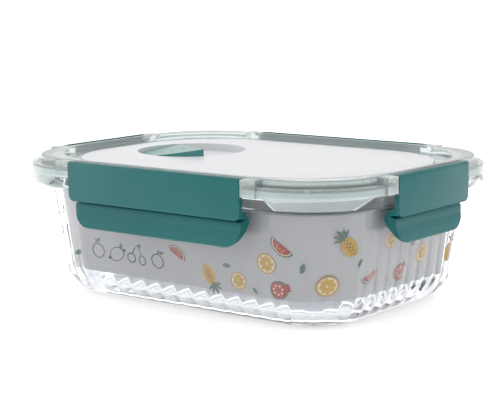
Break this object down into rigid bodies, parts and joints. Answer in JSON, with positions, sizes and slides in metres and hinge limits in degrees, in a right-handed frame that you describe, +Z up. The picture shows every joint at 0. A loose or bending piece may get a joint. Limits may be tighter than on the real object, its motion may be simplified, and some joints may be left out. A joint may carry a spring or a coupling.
{
  "type": "glass storage container",
  "caption": "Rectangular fluted glass food container with a four-latch lid, gasket, rotary steam vent and printed card liner.",
  "frame": {"origin": "centre of the foot, on the surface the container stands on", "axes": "+X along the long side, +Z up out of the bowl"},
  "size_m": [0.205, 0.1504, 0.0706],
  "materials": {
    "glass": "clear, fluted outside",
    "card": "matte, printed with fruit",
    "frosted_plastic": "frosted translucent",
    "white_plastic": "white, satin gloss",
    "silicone": "soft matte",
    "teal_plastic": "teal, fine satin"
  },
  "bodies": {
    "bowl": {"glass_bowl": "glass", "printed_liner": "card"},
    "lid": {"lid_frame": "frosted_plastic", "lid_panel": "white_plastic", "lid_gasket": "silicone", "vent_seal": "silicone"},
    "front_latch": {"front_latch": "teal_plastic"},
    "back_latch": {"back_latch": "teal_plastic"},
    "left_latch": {"left_latch": "teal_plastic"},
    "right_latch": {"right_latch": "teal_plastic"},
    "vent": {"vent_dial": "teal_plastic", "vent_shutter": "white_plastic"}
  },
  "joints": [
    {"name": "lid_lift", "type": "slide", "parent": "bowl", "child": "lid", "axis": [0, 0, 1], "range_m": [0, 0.024]},
    {"name": "front_latch_hinge", "type": "hinge", "parent": "lid", "child": "front_latch", "pos_m": [0, -0.0735, 0.067], "axis": [-1, 0, 0], "range_deg": [0, 121]},
    {"name": "back_latch_hinge", "type": "hinge", "parent": "lid", "child": "back_latch", "pos_m": [0, 0.0735, 0.067], "axis": [1, 0, 0], "range_deg": [0, 121]},
    {"name": "left_latch_hinge", "type": "hinge", "parent": "lid", "child": "left_latch", "pos_m": [-0.1008, 0, 0.067], "axis": [0, 1, 0], "range_deg": [0, 121]},
    {"name": "right_latch_hinge", "type": "hinge", "parent": "lid", "child": "right_latch", "pos_m": [0.1008, 0, 0.067], "axis": [0, -1, 0], "range_deg": [0, 121]},
    {"name": "vent_turn", "type": "hinge", "parent": "lid", "child": "vent", "pos_m": [-0.04, 0, 0.065], "axis": [0, 0, 1], "range_deg": [-90, 0]}
  ],
  "couplings": [
    {"joint": "front_latch_hinge", "follows": "lid_lift", "rad_per_m": 87.266},
    {"joint": "back_latch_hinge", "follows": "lid_lift", "rad_per_m": 87.266},
    {"joint": "left_latch_hinge", "follows": "lid_lift", "rad_per_m": 87.266},
    {"joint": "right_latch_hinge", "follows": "lid_lift", "rad_per_m": 87.266}
  ]
}
